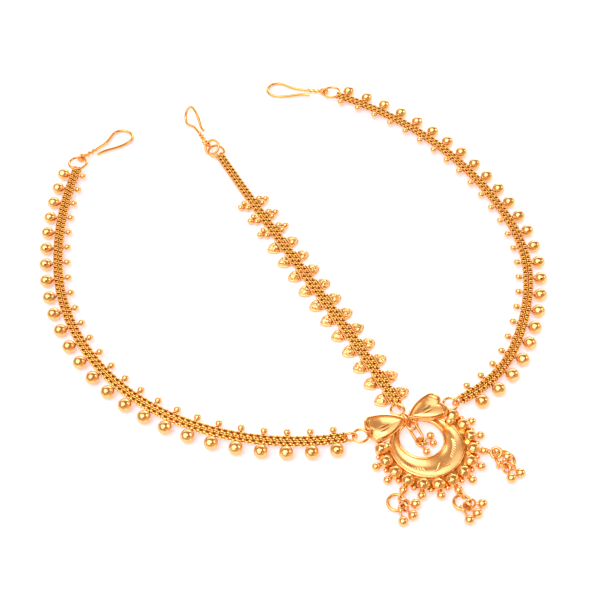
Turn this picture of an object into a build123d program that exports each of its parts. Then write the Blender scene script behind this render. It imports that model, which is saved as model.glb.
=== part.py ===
from build123d import *
from collections import namedtuple
from math import acos, cos, degrees, radians, sin
import os

# A forehead jewel with three chains, lying on a flat surface, which is z = 0.
# Millimetres, +Z up, origin under the middle of the whole jewel. Every piece is gold-plated brass.

CLEAR = 0.1

# Side chains: a strap crossed by bars, each with a large ball outside and a small ball inside.
STRAP_WIDTH = 3.0
STRAP_THICK = 1.3
STRAP_EDGE = 0.4
BAR_R = 0.28
BORE_R = BAR_R + CLEAR
BAR_COUNT = 25
BALL_R = 2.0
BALL_OUT = 3.78
FLAT_R = 0.8
SMALL_BALL_R = 1.05
SMALL_BALL_OUT = 2.95
COLLAR_R = 0.8
SMALL_COLLAR_R = 0.6
COLLAR_START = STRAP_WIDTH / 2 + CLEAR

# Centre chain: heart pairs, then pairs of three-ball clusters, then plain strap.
HEART_COUNT = 11
CLUSTER_COUNT = 3
HEART_LOBE_X = 2.85
HEART_LOBE_Y = 0.95
HEART_LOBE_R = 1.15
HEART_TIP = 5.5
HEART_BELOW = 1.1
HEART_WALL = 1.3
HEART_DOME = 0.65
HEART_TAPER = 42
FLANGE_WIDTH = 3.4
FLANGE_THICK = 1.2
GRAIN_R = 1.15
GRAIN_NEAR = 2.8
GRAIN_FAR = 4.6
GRAIN_APART = 1.2

# Wire pieces, each given by the radius of its wire.
HOOK_WIRE = 0.45
HOOK_EYE_R = 1.15
RING_WIRE = 0.38
JUMP_R = 3.0
CENTRE_JUMP_R = 2.6
HOOK_RING_R = 2.5
LINK_WIRE = 0.33
LINK_R = 1.7
LINK_LEAN = 90
CENTRE_LINK_LEAN = 60
END_WALL = 1.1

# Hook: arcs are (length, turn in degrees), from the eye to the tip.
SLEEVE_R = 0.62
SLEEVE_LENGTH = 4.6
HOOK_START = 3
HOOK_ARCS = ((8.7, 5), (3.2, 20), (2.9, -1), (12.6, -198), (5.9, -26), (2.8, 1), (4.1, 26))
CENTRE_HOOK_SIZE = 0.86

# Drops: a ball on an eye.
DROP_EYE_R = 1.2
DROP_WIRE = 0.3
DROP_BALL_R = 1.38
DROP_LENGTH = 3.1
SMALL_DROP_EYE_R = 0.8
SMALL_DROP_WIRE = 0.23
SMALL_DROP_BALL_R = 1.1
SMALL_DROP_LENGTH = 2.25
SMALL_RING_R = 1.2
SMALL_RING_WIRE = 0.27
DROP_LINK_HALF = 1.55
DROP_LINK_R = 1.3

# Pendant, in its own frame: the crescent's centre at the origin and the bow toward +Y.
CRESCENT_R = 9.9
HOLE_R = 6.45
HOLE_SHIFT = 2.7
PLATE_Z = 1.0
PLATE_THICK = 0.8
RIM_WIRE = 0.38
RIM_WALL = 0.3
RIM_Z = 2.1
INNER_RIM_WIRE = 0.45
SEAM_ASIDE = (0, 0, -60)  # turns each ball's seam away from its neighbours
BEAD_R = 1.8
BEAD_RING_R = 12.6
BEAD_STEP = 18.8
BEAD_SIDE_COUNT = 6
BACKING_WIDTH = 3.4
BACKING_THICK = 0.8
SMALL_GRAIN_R = 0.5
SMALL_GRAIN_RING_R = 13.7
SMALL_GRAIN_Z = PLATE_Z + BACKING_THICK
OUTER_BALL_R = 1.2
OUTER_RING_R = 15.5
OUTER_Z = 1.6
OUTER_NECK_R = 0.6
EYE_RING_R = 17.4
EYE_R = 1.0
EYE_WIRE = 0.27
TASSEL_SLOTS = (-3, 0, 3)
CORNER_BALL_R = 1.4
CORNER_BALL_Z = 2.4
CORNERS = ((-9.8, 4.8), (9.6, 3.5))
KNOT_X = -0.75
KNOT_Y = 9.85
KNOT_LENGTH = 2.6
KNOT_WIDTH = 2.6
KNOT_HEIGHT = 4.0
KNOT_ROUND = 0.8
KNOT_TURN = 6
LEAF_Z = 2.95
LEAF_THICK = 1.25
LEAF_DISH = 0.8
LEAF_DISH_SIZE = 0.8
LEAF_MIDDLE = 6.4
LEAF_SIDE = (3.3, 2.45)
LEAF_SHOULDER = (8.6, 4.2)
LEAF_LOBE = (11.35, 2.9)
LEAF_NOTCH = 10.5
LEAF_START = 0.3
LEAF_Y = 9.55
LEFT_LEAF_HEADING = 174
RIGHT_LEAF_HEADING = -1.5
LEFT_RING_HEADING = 174
RIGHT_RING_HEADING = -6
SOLDERED_R = 2.05
SOLDERED_WIRE = 0.42
SOLDERED_OUT = 13.5
SOLDERED_LUG = 1.8
SOLDERED_Z = 2.9
TOP_RING_R = 1.85
TOP_RING_X = -1.0
TOP_RING_Y = 13.6
TOP_RING_Z = 2.6
TOP_LUG_LENGTH = 1.6
FRONT_RING_R = 1.4
FRONT_RING_Y = 7.6
FRONT_RING_Z = 2.2

Route = namedtuple("Route", "x y z heading arcs first_bar first_gap last_gap")

# An arc is (length, turn in degrees, left positive). Every route leaves the pendant.
LEFT = Route(16.43, -64.71, 2.0, 191, ((40.6, -30), (40, -33), (40, -28), (47.9, -20)), 3.7, 6.6, 6.76)
RIGHT = Route(47.93, -52.31, 2.0, 28, ((26.4, 37), (24, 15), (30, 28), (40, 20), (46.9, 26)), 5.0, 6.12, 7.12)
CENTRE = Route(30.63, -53.31, 1.2, 115, ((40.4, 4), (40, -1), (38.6, -1)), 3.5, 6.5, 7.07)

PENDANT_X = 37.73
PENDANT_Y = -67.61
PENDANT_TURN = 28.5


def walk(route, distance):
    """The point and heading, in radians, at a distance along a route."""
    x, y, heading = route.x, route.y, radians(route.heading)
    for length, turn in route.arcs:
        run = min(distance, length)
        bend = radians(turn) / length
        x += (sin(heading + bend * run) - sin(heading)) / bend
        y -= (cos(heading + bend * run) - cos(heading)) / bend
        heading += bend * run
        distance -= run
    return x, y, heading


def route_length(route):
    return sum(length for length, turn in route.arcs)


def stations(route, count):
    """Distances of the bars, whose spacing grows evenly from the first gap to the last."""
    places = [route.first_bar]
    growth = (route.last_gap - route.first_gap) / (count - 2)
    for gap in range(count - 1):
        places.append(places[-1] + route.first_gap + growth * gap)
    return places


def oriented(base, x, y, z, heading=0.0, pitch=0.0, roll=0.0):
    """A plane at a point of another one, turned to a heading, pitched up and rolled about its own x."""
    turn = Location((x, y, z)) * Location((0, 0, 0), (0, 0, heading))
    tilt = Location((0, 0, 0), (0, -pitch, 0)) * Location((0, 0, 0), (roll, 0, 0))
    return Plane(base.location * turn * tilt)


def on_route(route, distance, side=1, lift=0.0):
    """A plane on a route: x along it and y to its left, or both reversed for side -1."""
    x, y, heading = walk(route, distance)
    return oriented(Plane.XY, x, y, route.z + lift, degrees(heading) + (0 if side > 0 else 180))


def save(piece, name):
    piece.part.label = name
    export_step(piece.part, f"parts/{name}.step")


def ring(name, plane, mean_radius, wire):
    """A closed wire ring that lies in its plane."""
    with BuildPart(plane) as piece:
        Torus(mean_radius, wire)
    save(piece, name)


os.makedirs("parts", exist_ok=True)
pendant_plane = oriented(Plane.XY, PENDANT_X, PENDANT_Y, 0, PENDANT_TURN)

# ---- rings that pass through the ends of the straps ----
# A link stands upright at the pendant's end, and a jump ring lies flat at the hook's end.
# Each end wall holds the ring: the strap has a curved bore that follows it.
LinkEnd = namedtuple("LinkEnd", "plane radius wire")


def link_plane(route, turn, fall, lean):
    """A link standing on edge, one end wall inside the start of the strap, rising away from it."""
    x, y, heading = walk(route, END_WALL)
    start = oriented(Plane.XY, x, y, route.z, degrees(heading) + turn, -fall)
    return oriented(start, -LINK_R, 0, 0, roll=lean)


def jump_plane(route, radius, turn, fall):
    """A jump ring, one end wall inside the far end of the strap, turned from it and falling away."""
    x, y, heading = walk(route, route_length(route) - END_WALL)
    return oriented(oriented(Plane.XY, x, y, route.z, degrees(heading) + turn, -fall), radius, 0, 0)


link_left = LinkEnd(link_plane(LEFT, -9.6, 11.5, LINK_LEAN), LINK_R, LINK_WIRE)
link_right = LinkEnd(link_plane(RIGHT, 4.8, 11.5, LINK_LEAN), LINK_R, LINK_WIRE)
link_centre = LinkEnd(link_plane(CENTRE, -16, 28, CENTRE_LINK_LEAN), LINK_R, LINK_WIRE)
jump_left = LinkEnd(jump_plane(LEFT, JUMP_R, 14, 3), JUMP_R, RING_WIRE)
jump_right = LinkEnd(jump_plane(RIGHT, JUMP_R, -15, 3), JUMP_R, RING_WIRE)
jump_centre = LinkEnd(jump_plane(CENTRE, CENTRE_JUMP_R, 6.5, -6), CENTRE_JUMP_R, RING_WIRE)

for name, end in (
    ("link_left", link_left), ("link_right", link_right), ("link_centre", link_centre),
    ("jump_ring_left", jump_left), ("jump_ring_right", jump_right), ("jump_ring_centre", jump_centre),
):
    ring(name, end.plane, end.radius, end.wire)

# The side hooks hang on their jump rings, and the centre hook on one more ring.
hook_ring_plane = oriented(Plane.XY, -27.07, 54.69, 2.05, 137, 5.7, -39)
hook_left_seat = oriented(Plane.XY, -71.32, 49.59, 1.65, 44, -3)
hook_right_seat = oriented(Plane.XY, 11.93, 85.49, 1.65, 172, -3)
hook_centre_seat = oriented(Plane.XY, -29.07, 56.34, 2.35, 115.6, 3.5, -63)


# ---- straps ----
def draw_arcs(x, y, heading, arcs):
    """Draws tangent arcs from a point in the current line builder, and returns where they end."""
    here, heading = Vector(x, y), radians(heading)
    for length, turn in arcs:
        arc = JernArc(here, (cos(heading), sin(heading)), length / abs(radians(turn)), turn)
        here = arc.position_at(1)
        heading += radians(turn)
    return here


def strap(name, route, bar_places, ends):
    """A band of one solid along a route, with a bore at each bar and a curved bore at each end."""
    with BuildPart() as band:
        with BuildLine(Plane.XY.offset(route.z)):
            draw_arcs(route.x, route.y, route.heading, route.arcs)
        across = oriented(Plane.XY, route.x, route.y, route.z, route.heading)
        with BuildSketch(Plane(across.origin, x_dir=across.y_dir, z_dir=across.x_dir)):
            RectangleRounded(STRAP_WIDTH, STRAP_THICK, STRAP_EDGE)
        sweep()
        for place in bar_places:
            middle = on_route(route, place)
            with BuildSketch(Plane(middle.origin, x_dir=middle.x_dir, z_dir=middle.y_dir)):
                Circle(BORE_R)
            extrude(amount=STRAP_WIDTH, both=True, mode=Mode.SUBTRACT)
        for end in ends:
            with Locations(end.plane.location):
                Torus(end.radius, end.wire + CLEAR, mode=Mode.SUBTRACT)
    save(band, name)


bar_places_left = stations(LEFT, BAR_COUNT)
bar_places_right = stations(RIGHT, BAR_COUNT)
bar_places_centre = stations(CENTRE, HEART_COUNT + CLUSTER_COUNT)
strap("strap_left", LEFT, bar_places_left, (link_left, jump_left))
strap("strap_right", RIGHT, bar_places_right, (link_right, jump_right))
strap("strap_centre", CENTRE, bar_places_centre, (link_centre, jump_centre))

# ---- side bars: one bar, copied to each station of the two side chains ----
# The large ball has round flats: one at its outer pole, then two rings of six.
flat_out = (BALL_R**2 - FLAT_R**2) ** 0.5
with BuildPart() as ball:
    Sphere(BALL_R)
    for lean, count in ((0, 1), (52, 6), (97, 6)):
        for step in range(count):
            spin = radians(360 / count * step + lean)
            out = Vector(sin(radians(lean)) * cos(spin), cos(radians(lean)), sin(radians(lean)) * sin(spin))
            split(bisect_by=Plane(out * flat_out, z_dir=out), keep=Keep.BOTTOM)

with BuildPart() as side_bar:
    with BuildSketch(Plane.XZ.offset(-BALL_OUT)):
        Circle(BAR_R)
    extrude(amount=BALL_OUT + SMALL_BALL_OUT)
    with BuildSketch(Plane.XZ.offset(-BALL_OUT)):
        Circle(COLLAR_R)
    extrude(amount=BALL_OUT - COLLAR_START)
    with BuildSketch(Plane.XZ.offset(COLLAR_START)):
        Circle(SMALL_COLLAR_R)
    extrude(amount=SMALL_BALL_OUT - COLLAR_START)
    with Locations((0, BALL_OUT, 0)):
        add(ball)
    with Locations((0, -SMALL_BALL_OUT, 0)):
        Sphere(SMALL_BALL_R)

for name, route, places, side in (
    ("side_bars_left", LEFT, bar_places_left, 1),
    ("side_bars_right", RIGHT, bar_places_right, -1),
):
    with BuildPart(*[on_route(route, place, side) for place in places]) as bars:
        add(side_bar)
    save(bars, name)

# ---- centre bars: a heart pair, and a pair of three-ball clusters, each joined by its bar ----
reach = Vector(HEART_TIP - HEART_LOBE_X, -HEART_LOBE_Y)
tangent = (reach.X**2 + reach.Y**2 - HEART_LOBE_R**2) ** 0.5
touch = reach.rotate(Axis.Z, degrees(acos(HEART_LOBE_R / reach.length))).normalized() * HEART_LOBE_R
with BuildPart() as heart_pair:
    with BuildSketch(Plane.XY.offset(-HEART_BELOW)) as heart:
        with Locations((HEART_LOBE_X, HEART_LOBE_Y), (HEART_LOBE_X, -HEART_LOBE_Y)):
            Circle(HEART_LOBE_R)
        with BuildLine():
            Polyline(
                (HEART_LOBE_X, HEART_LOBE_Y),
                (HEART_LOBE_X + touch.X, HEART_LOBE_Y + touch.Y),
                (HEART_TIP, 0),
                (HEART_LOBE_X + touch.X, -HEART_LOBE_Y - touch.Y),
                (HEART_LOBE_X, -HEART_LOBE_Y),
                close=True,
            )
        make_face()
    extrude(amount=HEART_WALL)
    with BuildSketch(Plane.XY.offset(HEART_WALL - HEART_BELOW)):
        add(heart.sketch.moved(Location((0, 0, 0))))
    extrude(amount=HEART_DOME, taper=HEART_TAPER)
    with Locations((COLLAR_START, 0, -HEART_BELOW)):
        Box(
            HEART_LOBE_X - COLLAR_START, FLANGE_WIDTH, FLANGE_THICK,
            align=(Align.MIN, Align.CENTER, Align.MIN),
        )
    with BuildSketch(Plane.YZ):
        Circle(BAR_R)
    extrude(amount=HEART_LOBE_X)
    mirror(about=Plane.YZ)

with BuildPart() as cluster_pair:
    with Locations((GRAIN_NEAR, GRAIN_APART, 0), (GRAIN_NEAR, -GRAIN_APART, 0), (GRAIN_FAR, 0, 0)):
        Sphere(GRAIN_R)
    with Locations((COLLAR_START, 0, 0)):
        Box(GRAIN_NEAR - COLLAR_START, FLANGE_WIDTH, FLANGE_THICK, align=(Align.MIN, Align.CENTER, Align.CENTER))
    with BuildSketch(Plane.YZ):
        Circle(BAR_R)
    extrude(amount=GRAIN_FAR)
    mirror(about=Plane.YZ)

for name, pair, places in (
    ("heart_bars", heart_pair, bar_places_centre[:HEART_COUNT]),
    ("cluster_bars", cluster_pair, bar_places_centre[HEART_COUNT:]),
):
    with BuildPart(*[oriented(on_route(CENTRE, place), 0, 0, 0, 90) for place in places]) as bars:
        add(pair)
    save(bars, name)

# ---- hooks: an eye, a sleeved shank and a loop whose tip comes back beside the shank ----
def bent_hook(side, size):
    """A hook along +X from its eye, with the tip on the right side, or on the left for side -1."""
    with BuildPart() as hook:
        with Locations(oriented(Plane.XY, 0, 0, 0, roll=90).location):
            Torus(HOOK_EYE_R, HOOK_WIRE)
        with BuildSketch(Plane.YZ.offset(HOOK_EYE_R)):
            Circle(SLEEVE_R)
        extrude(amount=size * SLEEVE_LENGTH)
        with BuildLine():
            arcs = [(size * length, side * turn) for length, turn in HOOK_ARCS]
            tip = draw_arcs(HOOK_EYE_R, 0, side * HOOK_START, arcs)
        with BuildSketch(Plane((HOOK_EYE_R, 0), z_dir=(cos(radians(HOOK_START)), side * sin(radians(HOOK_START)), 0))):
            Circle(HOOK_WIRE)
        sweep()
        with Locations(tip):
            Sphere(HOOK_WIRE)
    return hook


ring("jump_ring_hook", hook_ring_plane, HOOK_RING_R, RING_WIRE)
for name, side, size, seat in (
    ("hook_left", 1, 1, hook_left_seat),
    ("hook_right", -1, 1, hook_right_seat),
    ("hook_centre", 1, CENTRE_HOOK_SIZE, hook_centre_seat),
):
    with BuildPart(seat) as piece:
        add(bent_hook(side, size))
    save(piece, name)

# ---- pendant: crescent, beads, bow, soldered rings and eyes, one soldered piece ----
hole_centre = oriented(pendant_plane, 0, HOLE_SHIFT, 0)
bead_turns = [BEAD_STEP * slot - 90 for slot in range(-BEAD_SIDE_COUNT, BEAD_SIDE_COUNT + 1)]
grain_turns = [turn + BEAD_STEP / 2 for turn in bead_turns[:-1]]
outer_turns = bead_turns[1:-1]
strip_turn = BEAD_STEP * BEAD_SIDE_COUNT


def around(radius, turn, z):
    """A plane at a turn about the pendant's origin, with x outward."""
    return oriented(pendant_plane, radius * cos(radians(turn)), radius * sin(radians(turn)), z, turn)


def slot_plane(slot):
    """A plane at the eye of a tassel, with x outward."""
    return around(EYE_RING_R, BEAD_STEP * slot - 90, OUTER_Z)


neck_planes = [oriented(around(BEAD_RING_R, turn, OUTER_Z), 0, 0, 0, pitch=-90) for turn in outer_turns]
left_leaf = oriented(pendant_plane, KNOT_X - LEAF_START, LEAF_Y, LEAF_Z, LEFT_LEAF_HEADING)
right_leaf = oriented(pendant_plane, KNOT_X + LEAF_START, LEAF_Y, LEAF_Z, RIGHT_LEAF_HEADING)
left_lug = oriented(pendant_plane, KNOT_X - LEAF_START, LEAF_Y, SOLDERED_Z, LEFT_RING_HEADING)
right_lug = oriented(pendant_plane, KNOT_X + LEAF_START, LEAF_Y, SOLDERED_Z, RIGHT_RING_HEADING)


def draw_leaf(size):
    """Draws a heart, scaled about the leaf's middle, with its point toward the knot."""
    side, shoulder, lobe, notch, point = [
        (LEAF_MIDDLE + size * (x - LEAF_MIDDLE), size * y)
        for x, y in (LEAF_SIDE, LEAF_SHOULDER, LEAF_LOBE, (LEAF_NOTCH, 0), (0, 0))
    ]
    ThreePointArc(point, side, shoulder)
    ThreePointArc(shoulder, lobe, notch)
    mirror(about=Plane.XZ)


with BuildPart() as leaf:
    with BuildSketch():
        with BuildLine():
            draw_leaf(1)
        make_face()
    extrude(amount=LEAF_THICK)
    with BuildSketch(Plane.XY.offset(LEAF_THICK)):
        with BuildLine():
            draw_leaf(LEAF_DISH_SIZE)
        make_face()
    extrude(amount=-LEAF_DISH, mode=Mode.SUBTRACT)

with BuildPart() as knot:
    Box(KNOT_WIDTH, KNOT_LENGTH, KNOT_HEIGHT, align=(Align.CENTER, Align.CENTER, Align.MIN))
    fillet(knot.faces().sort_by(Axis.Z)[-1].edges() + knot.edges().filter_by(Axis.Z), KNOT_ROUND)

with BuildPart() as pendant:
    with BuildSketch(oriented(pendant_plane, 0, 0, PLATE_Z)):
        Circle(CRESCENT_R)
        with Locations((0, HOLE_SHIFT)):
            Circle(HOLE_R, mode=Mode.SUBTRACT)
    extrude(amount=PLATE_THICK)
    with Locations(oriented(pendant_plane, 0, 0, RIM_Z).location):
        Torus(CRESCENT_R, RIM_WIRE)
    with BuildSketch(oriented(pendant_plane, 0, 0, PLATE_Z)):
        Circle(CRESCENT_R + RIM_WALL)
        Circle(CRESCENT_R - RIM_WALL, mode=Mode.SUBTRACT)
    extrude(amount=RIM_Z - PLATE_Z)
    with Locations(oriented(hole_centre, 0, 0, RIM_Z).location):
        Torus(HOLE_R, INNER_RIM_WIRE)
    with BuildSketch(oriented(hole_centre, 0, 0, PLATE_Z)):
        Circle(HOLE_R + RIM_WALL)
        Circle(HOLE_R - RIM_WALL, mode=Mode.SUBTRACT)
    extrude(amount=RIM_Z - PLATE_Z)
    with BuildSketch(oriented(pendant_plane, 0, 0, PLATE_Z, -90)):
        with BuildLine():
            CenterArc((0, 0), CRESCENT_R, -strip_turn, 2 * strip_turn)
            CenterArc((0, 0), CRESCENT_R + BACKING_WIDTH, -strip_turn, 2 * strip_turn)
            for turn in (-strip_turn, strip_turn):
                inner = (CRESCENT_R * cos(radians(turn)), CRESCENT_R * sin(radians(turn)))
                PolarLine(inner, BACKING_WIDTH, turn)
        make_face()
    extrude(amount=BACKING_THICK)
    with Locations(*[around(BEAD_RING_R, turn, BEAD_R).location for turn in bead_turns]):
        Sphere(BEAD_R, rotation=SEAM_ASIDE)
    with Locations(*[around(SMALL_GRAIN_RING_R, turn, SMALL_GRAIN_Z).location for turn in grain_turns]):
        Sphere(SMALL_GRAIN_R)
    with Locations(*[around(OUTER_RING_R, turn, OUTER_Z).location for turn in outer_turns]):
        Sphere(OUTER_BALL_R, rotation=SEAM_ASIDE)
    with BuildSketch(*neck_planes):
        Circle(OUTER_NECK_R)
    extrude(amount=OUTER_RING_R - BEAD_RING_R)
    with Locations(*[oriented(slot_plane(slot), 0, 0, 0, roll=90).location for slot in TASSEL_SLOTS]):
        Torus(EYE_R, EYE_WIRE)
    with Locations(*[oriented(pendant_plane, x, y, CORNER_BALL_Z).location for x, y in CORNERS]):
        Sphere(CORNER_BALL_R, rotation=SEAM_ASIDE)
    with Locations(left_leaf.location, right_leaf.location):
        add(leaf)
    for lug in (left_lug, right_lug):
        with Locations(oriented(lug, SOLDERED_OUT, 0, 0).location):
            Torus(SOLDERED_R, SOLDERED_WIRE)
        with Locations(oriented(lug, LEAF_NOTCH, 0, 0).location):
            Box(SOLDERED_LUG, SOLDERED_LUG, 2 * SOLDERED_WIRE)
    with Locations(oriented(pendant_plane, TOP_RING_X, TOP_RING_Y, TOP_RING_Z).location):
        Torus(TOP_RING_R, SOLDERED_WIRE)
    with Locations(oriented(pendant_plane, TOP_RING_X, TOP_RING_Y - TOP_RING_R, TOP_RING_Z).location):
        Box(SOLDERED_LUG, TOP_LUG_LENGTH, 2 * SOLDERED_WIRE, align=(Align.CENTER, Align.MAX, Align.CENTER))
    with Locations(oriented(pendant_plane, 0, FRONT_RING_Y, FRONT_RING_Z).location):
        Torus(FRONT_RING_R, LINK_WIRE)
    with Locations(oriented(pendant_plane, KNOT_X, KNOT_Y, PLATE_Z, KNOT_TURN).location):
        add(knot)
save(pendant, "pendant")

# ---- tassels: each a ring with three drops, whose eyes it passes through ----
def drop_shape(eye_radius, wire, ball_radius, length):
    """A ball on an eye: the eye lies about the origin and the ball is out along +X."""
    with BuildPart() as shape:
        Torus(eye_radius, wire)
        with BuildSketch(Plane.YZ.offset(eye_radius)):
            Circle(wire + CLEAR)
        extrude(amount=length - eye_radius)
        with Locations((length, 0, 0)):
            Sphere(ball_radius)
    return shape


TASSEL_RINGS = (
    # name, radius, then x, y, z, heading, pitch, roll
    ("ring_tassel_left", 2.3, (28.47, -84.89, 1.45, -118, -6, 0)),
    ("ring_tassel_centre", 2.15, (45.66, -84.88, 1.57, 7, 3.3, 0)),
    ("ring_tassel_right_small", 1.35, (56.36, -69.61, 1.71, -13, 10.6, 32.8)),
    ("ring_tassel_right", 2.65, (58.54, -71.55, 1.48, -50, -3.8, -11.4)),
)
TASSEL_DROPS = (
    # name, then x, y, z of the eye, heading, pitch, roll
    ("drop_left_a", (30.44, -84.9, 1.64, -8, -4.4, 82)),
    ("drop_left_b", (30.53, -86.33, 1.59, -48, -3.6, 78)),
    ("drop_left_c", (29.28, -87.44, 1.58, -78, -3.3, -85)),
    ("drop_centre_a", (47.9, -85.21, 1.55, 0, -2.8, 57)),
    ("drop_centre_b", (46.97, -86.16, 1.6, -38, -3.7, 83)),
    ("drop_centre_c", (45.72, -87.26, 1.55, -63, -2.7, -72)),
    ("drop_right_a", (58.61, -74.48, 1.59, -72, -3.6, 56)),
    ("drop_right_b", (59.9, -73.77, 1.54, -42, -2.6, 79)),
    ("drop_right_c", (56.95, -73.21, 1.62, 44, 5.2, 88)),
)
CENTRE_DROPS = (
    # name, then x, y, z of the eye from the pendant's origin, heading, pitch, roll
    ("drop_small_a", (0.86, 2.16, 1.25, 16, -3.1, -76)),
    ("drop_small_b", (0.34, 1.36, 1.06, -25, 1.7, -82)),
    ("drop_small_c", (-0.84, 1.21, 1.26, -87, -3.3, 87)),
)
for name, radius, place in TASSEL_RINGS:
    ring(name, oriented(Plane.XY, *place), radius, LINK_WIRE)

tassel_drop = drop_shape(DROP_EYE_R, DROP_WIRE, DROP_BALL_R, DROP_LENGTH)
for name, place in TASSEL_DROPS:
    with BuildPart(oriented(Plane.XY, *place)) as piece:
        add(tassel_drop)
    save(piece, name)

# ---- centre drop: a long link on the front ring, a small ring on it, and three small drops ----
drop_link_plane = oriented(pendant_plane, -0.18, 5.26, 1.75, -93, -6.1, 56.3)
with BuildPart() as drop_link:
    with BuildLine() as path:
        Line((-DROP_LINK_HALF, -DROP_LINK_R), (DROP_LINK_HALF, -DROP_LINK_R))
        CenterArc((DROP_LINK_HALF, 0), DROP_LINK_R, -90, 180)
        Line((DROP_LINK_HALF, DROP_LINK_R), (-DROP_LINK_HALF, DROP_LINK_R))
        CenterArc((-DROP_LINK_HALF, 0), DROP_LINK_R, 90, 180)
    with BuildSketch(Plane((0, -DROP_LINK_R, 0), z_dir=(1, 0, 0))):
        Circle(DROP_WIRE)
    sweep()
with BuildPart(drop_link_plane) as link_drop:
    add(drop_link)
save(link_drop, "link_drop")
ring("ring_drop", oriented(pendant_plane, -0.48, 2.28, 1.2, 115, 1.6), SMALL_RING_R, SMALL_RING_WIRE)

small_drop = drop_shape(SMALL_DROP_EYE_R, SMALL_DROP_WIRE, SMALL_DROP_BALL_R, SMALL_DROP_LENGTH)
for name, place in CENTRE_DROPS:
    with BuildPart(oriented(pendant_plane, *place)) as piece:
        add(small_drop)
    save(piece, name)
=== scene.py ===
from collections import namedtuple
from math import atan2, cos, degrees, pi, radians, sin, tau

import bmesh
import bpy
from mathutils import Matrix, Vector


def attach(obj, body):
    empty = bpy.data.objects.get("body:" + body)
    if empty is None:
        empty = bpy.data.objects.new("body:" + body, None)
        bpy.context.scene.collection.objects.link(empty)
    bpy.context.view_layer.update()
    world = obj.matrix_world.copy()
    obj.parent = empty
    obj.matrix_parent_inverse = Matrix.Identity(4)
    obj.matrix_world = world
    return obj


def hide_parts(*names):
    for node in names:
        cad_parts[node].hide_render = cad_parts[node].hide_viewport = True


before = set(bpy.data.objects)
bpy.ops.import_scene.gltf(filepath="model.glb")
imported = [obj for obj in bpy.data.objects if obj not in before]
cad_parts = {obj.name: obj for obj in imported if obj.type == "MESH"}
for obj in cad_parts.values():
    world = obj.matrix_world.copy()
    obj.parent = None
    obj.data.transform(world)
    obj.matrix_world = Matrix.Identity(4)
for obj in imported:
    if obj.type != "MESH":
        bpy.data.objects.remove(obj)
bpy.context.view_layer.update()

# ---- camera and floor ----
# The ornament lies on a sheet of white paper on a lit table. The camera stands in front of the
# pendant, without roll, and looks down on the middle of the chains through a short telephoto lens.
# Every size below is in millimetres; a finished piece is scaled to metres as it is made.
MM = 0.001
CAMERA_PLACE = Vector((3.23, -233.8, 253.6)) * MM
CAMERA_ELEVATION = 49
CAMERA_LENS = 66
CAMERA_SENSOR = 36
CAMERA_NEAR = 10
FLOOR_SIZE = 4000
TABLE_WHITE = (0.8, 0.76, 0.86, 1)
TABLE_ROUGHNESS = 0.9
TABLE_SHINE = 0.1
TABLE_LIGHT = (1, 0.96, 1, 1)
TABLE_GLOW = 0.4
CREASE = 38

scene = bpy.context.scene
camera = bpy.data.objects.new("camera", bpy.data.cameras.new("camera"))
scene.collection.objects.link(camera)
camera.location = CAMERA_PLACE
camera.rotation_euler = (radians(90 - CAMERA_ELEVATION), 0, 0)
camera.data.lens = CAMERA_LENS
camera.data.sensor_width = CAMERA_SENSOR
camera.data.clip_start = CAMERA_NEAR * MM
scene.camera = camera
scene.view_settings.view_transform = "Standard"


def new_material(name):
    """A new node material: returns it with its node tree and its Principled shader."""
    material = bpy.data.materials.new(name)
    material.use_nodes = True
    return material, material.node_tree, material.node_tree.nodes["Principled BSDF"]


def mesh_object(name, shape, *materials):
    """Turns a bmesh into an object in metres, smooth but for its creases, and frees the bmesh."""
    mesh = bpy.data.meshes.new(name)
    shape.to_mesh(mesh)
    shape.free()
    mesh.transform(Matrix.Scale(MM, 4))
    for material in materials:
        mesh.materials.append(material)
    mesh.polygons.foreach_set("use_smooth", [True] * len(mesh.polygons))
    mesh.set_sharp_from_angle(angle=radians(CREASE))
    thing = bpy.data.objects.new(name, mesh)
    scene.collection.objects.link(thing)
    return thing


table_paper, tree, shader = new_material("table_paper")
shader.inputs["Base Color"].default_value = TABLE_WHITE
shader.inputs["Roughness"].default_value = TABLE_ROUGHNESS
shader.inputs["Specular IOR Level"].default_value = TABLE_SHINE
shader.inputs["Emission Color"].default_value = TABLE_LIGHT
shader.inputs["Emission Strength"].default_value = TABLE_GLOW
shape = bmesh.new()
bmesh.ops.create_grid(shape, x_segments=1, y_segments=1, size=FLOOR_SIZE / 2)
mesh_object("floor", shape, table_paper)

# ---- light ----
# A tent of warm cloth hangs over the table: lighter near the table, dimmer overhead and on the
# left, with a dark opening for the camera, a white softbox high on the left and a white back wall.
# A plain pale backdrop stands beyond it. Lamps beside the camera, behind and on the right cast the
# shadows.
SKY_LOW = (0.8, 0.55, 0.35, 1)
SKY_HIGH = (0.42, 0.26, 0.14, 1)
BACKDROP = (0.95, 0.94, 0.94, 1)
SKY_LEFT = 0.8
SKY_RIGHT = 1.2
SKY_OPENING = (0.1, 0.045, 0.015, 1)
SKY_FALL = 0.8
OPENING_HALF_ANGLE = 7
OPENING_EDGE = 5
SOFTBOX = (2.1, 2.1, 2.1, 1)
SOFTBOX_TOWARD = Vector((-0.38, -0.25, 0.89))
SOFTBOX_HALF_ANGLE = 33
SOFTBOX_EDGE = 8
BACK_WALL = (1.4, 1.38, 1.34, 1)
BACK_WALL_TOWARD = Vector((-0.1, 0.97, 0.15))
BACK_WALL_HALF_ANGLE = 22
BACK_WALL_EDGE = 26
LAMPS = (
    ("lamp_camera", (-360, -420, 950), (280, 400), 3.2),
    ("lamp_back", (300, 950, 450), (700, 300), 2.5),
    ("lamp_right", (950, 100, 600), (300, 450), 3.0),
)

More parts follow.
